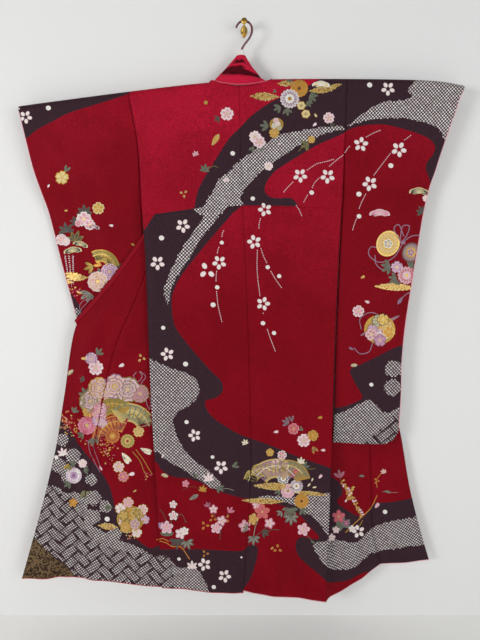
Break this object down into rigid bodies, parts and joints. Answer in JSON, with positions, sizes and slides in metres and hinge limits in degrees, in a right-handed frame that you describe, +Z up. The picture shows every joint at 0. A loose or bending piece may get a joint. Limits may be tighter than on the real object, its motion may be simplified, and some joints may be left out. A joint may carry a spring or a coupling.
{
  "type": "furisode on a hanger",
  "caption": "Long-sleeved formal kimono hung by a kimono hanger on a wall hook, back outwards, with both fronts swung out to the sides.",
  "frame": {"origin": "middle of the wall hook's back face, on the wall", "axes": "+Z up, +Y into the wall, +X to the right as the garment's back is seen"},
  "size_m": [1.3865, 0.1071, 1.8091],
  "materials": {
    "outer_cloth": "matte red silk crepe with a fine tone-on-tone figure",
    "collar_cloth": "matte red silk crepe, folded double",
    "hanger_rod": "dark red-brown gloss",
    "hanger_plastic": "white, satin",
    "wall_brass": "worn satin"
  },
  "bodies": {
    "root": {"back_left": "outer_cloth", "back_right": "outer_cloth", "front_left": "outer_cloth", "front_right": "outer_cloth", "overlap_left": "outer_cloth", "overlap_right": "outer_cloth", "sleeve_left": "outer_cloth", "sleeve_right": "outer_cloth", "collar_left": "collar_cloth", "collar_right": "collar_cloth", "collar_neck": "collar_cloth", "hanger_hook": "hanger_rod", "hanger_post": "hanger_plastic", "hanger_block": "hanger_plastic", "hanger_pole_left": "hanger_plastic", "hanger_pole_right": "hanger_plastic", "wall_hook": "wall_brass"}
  },
  "joints": []
}
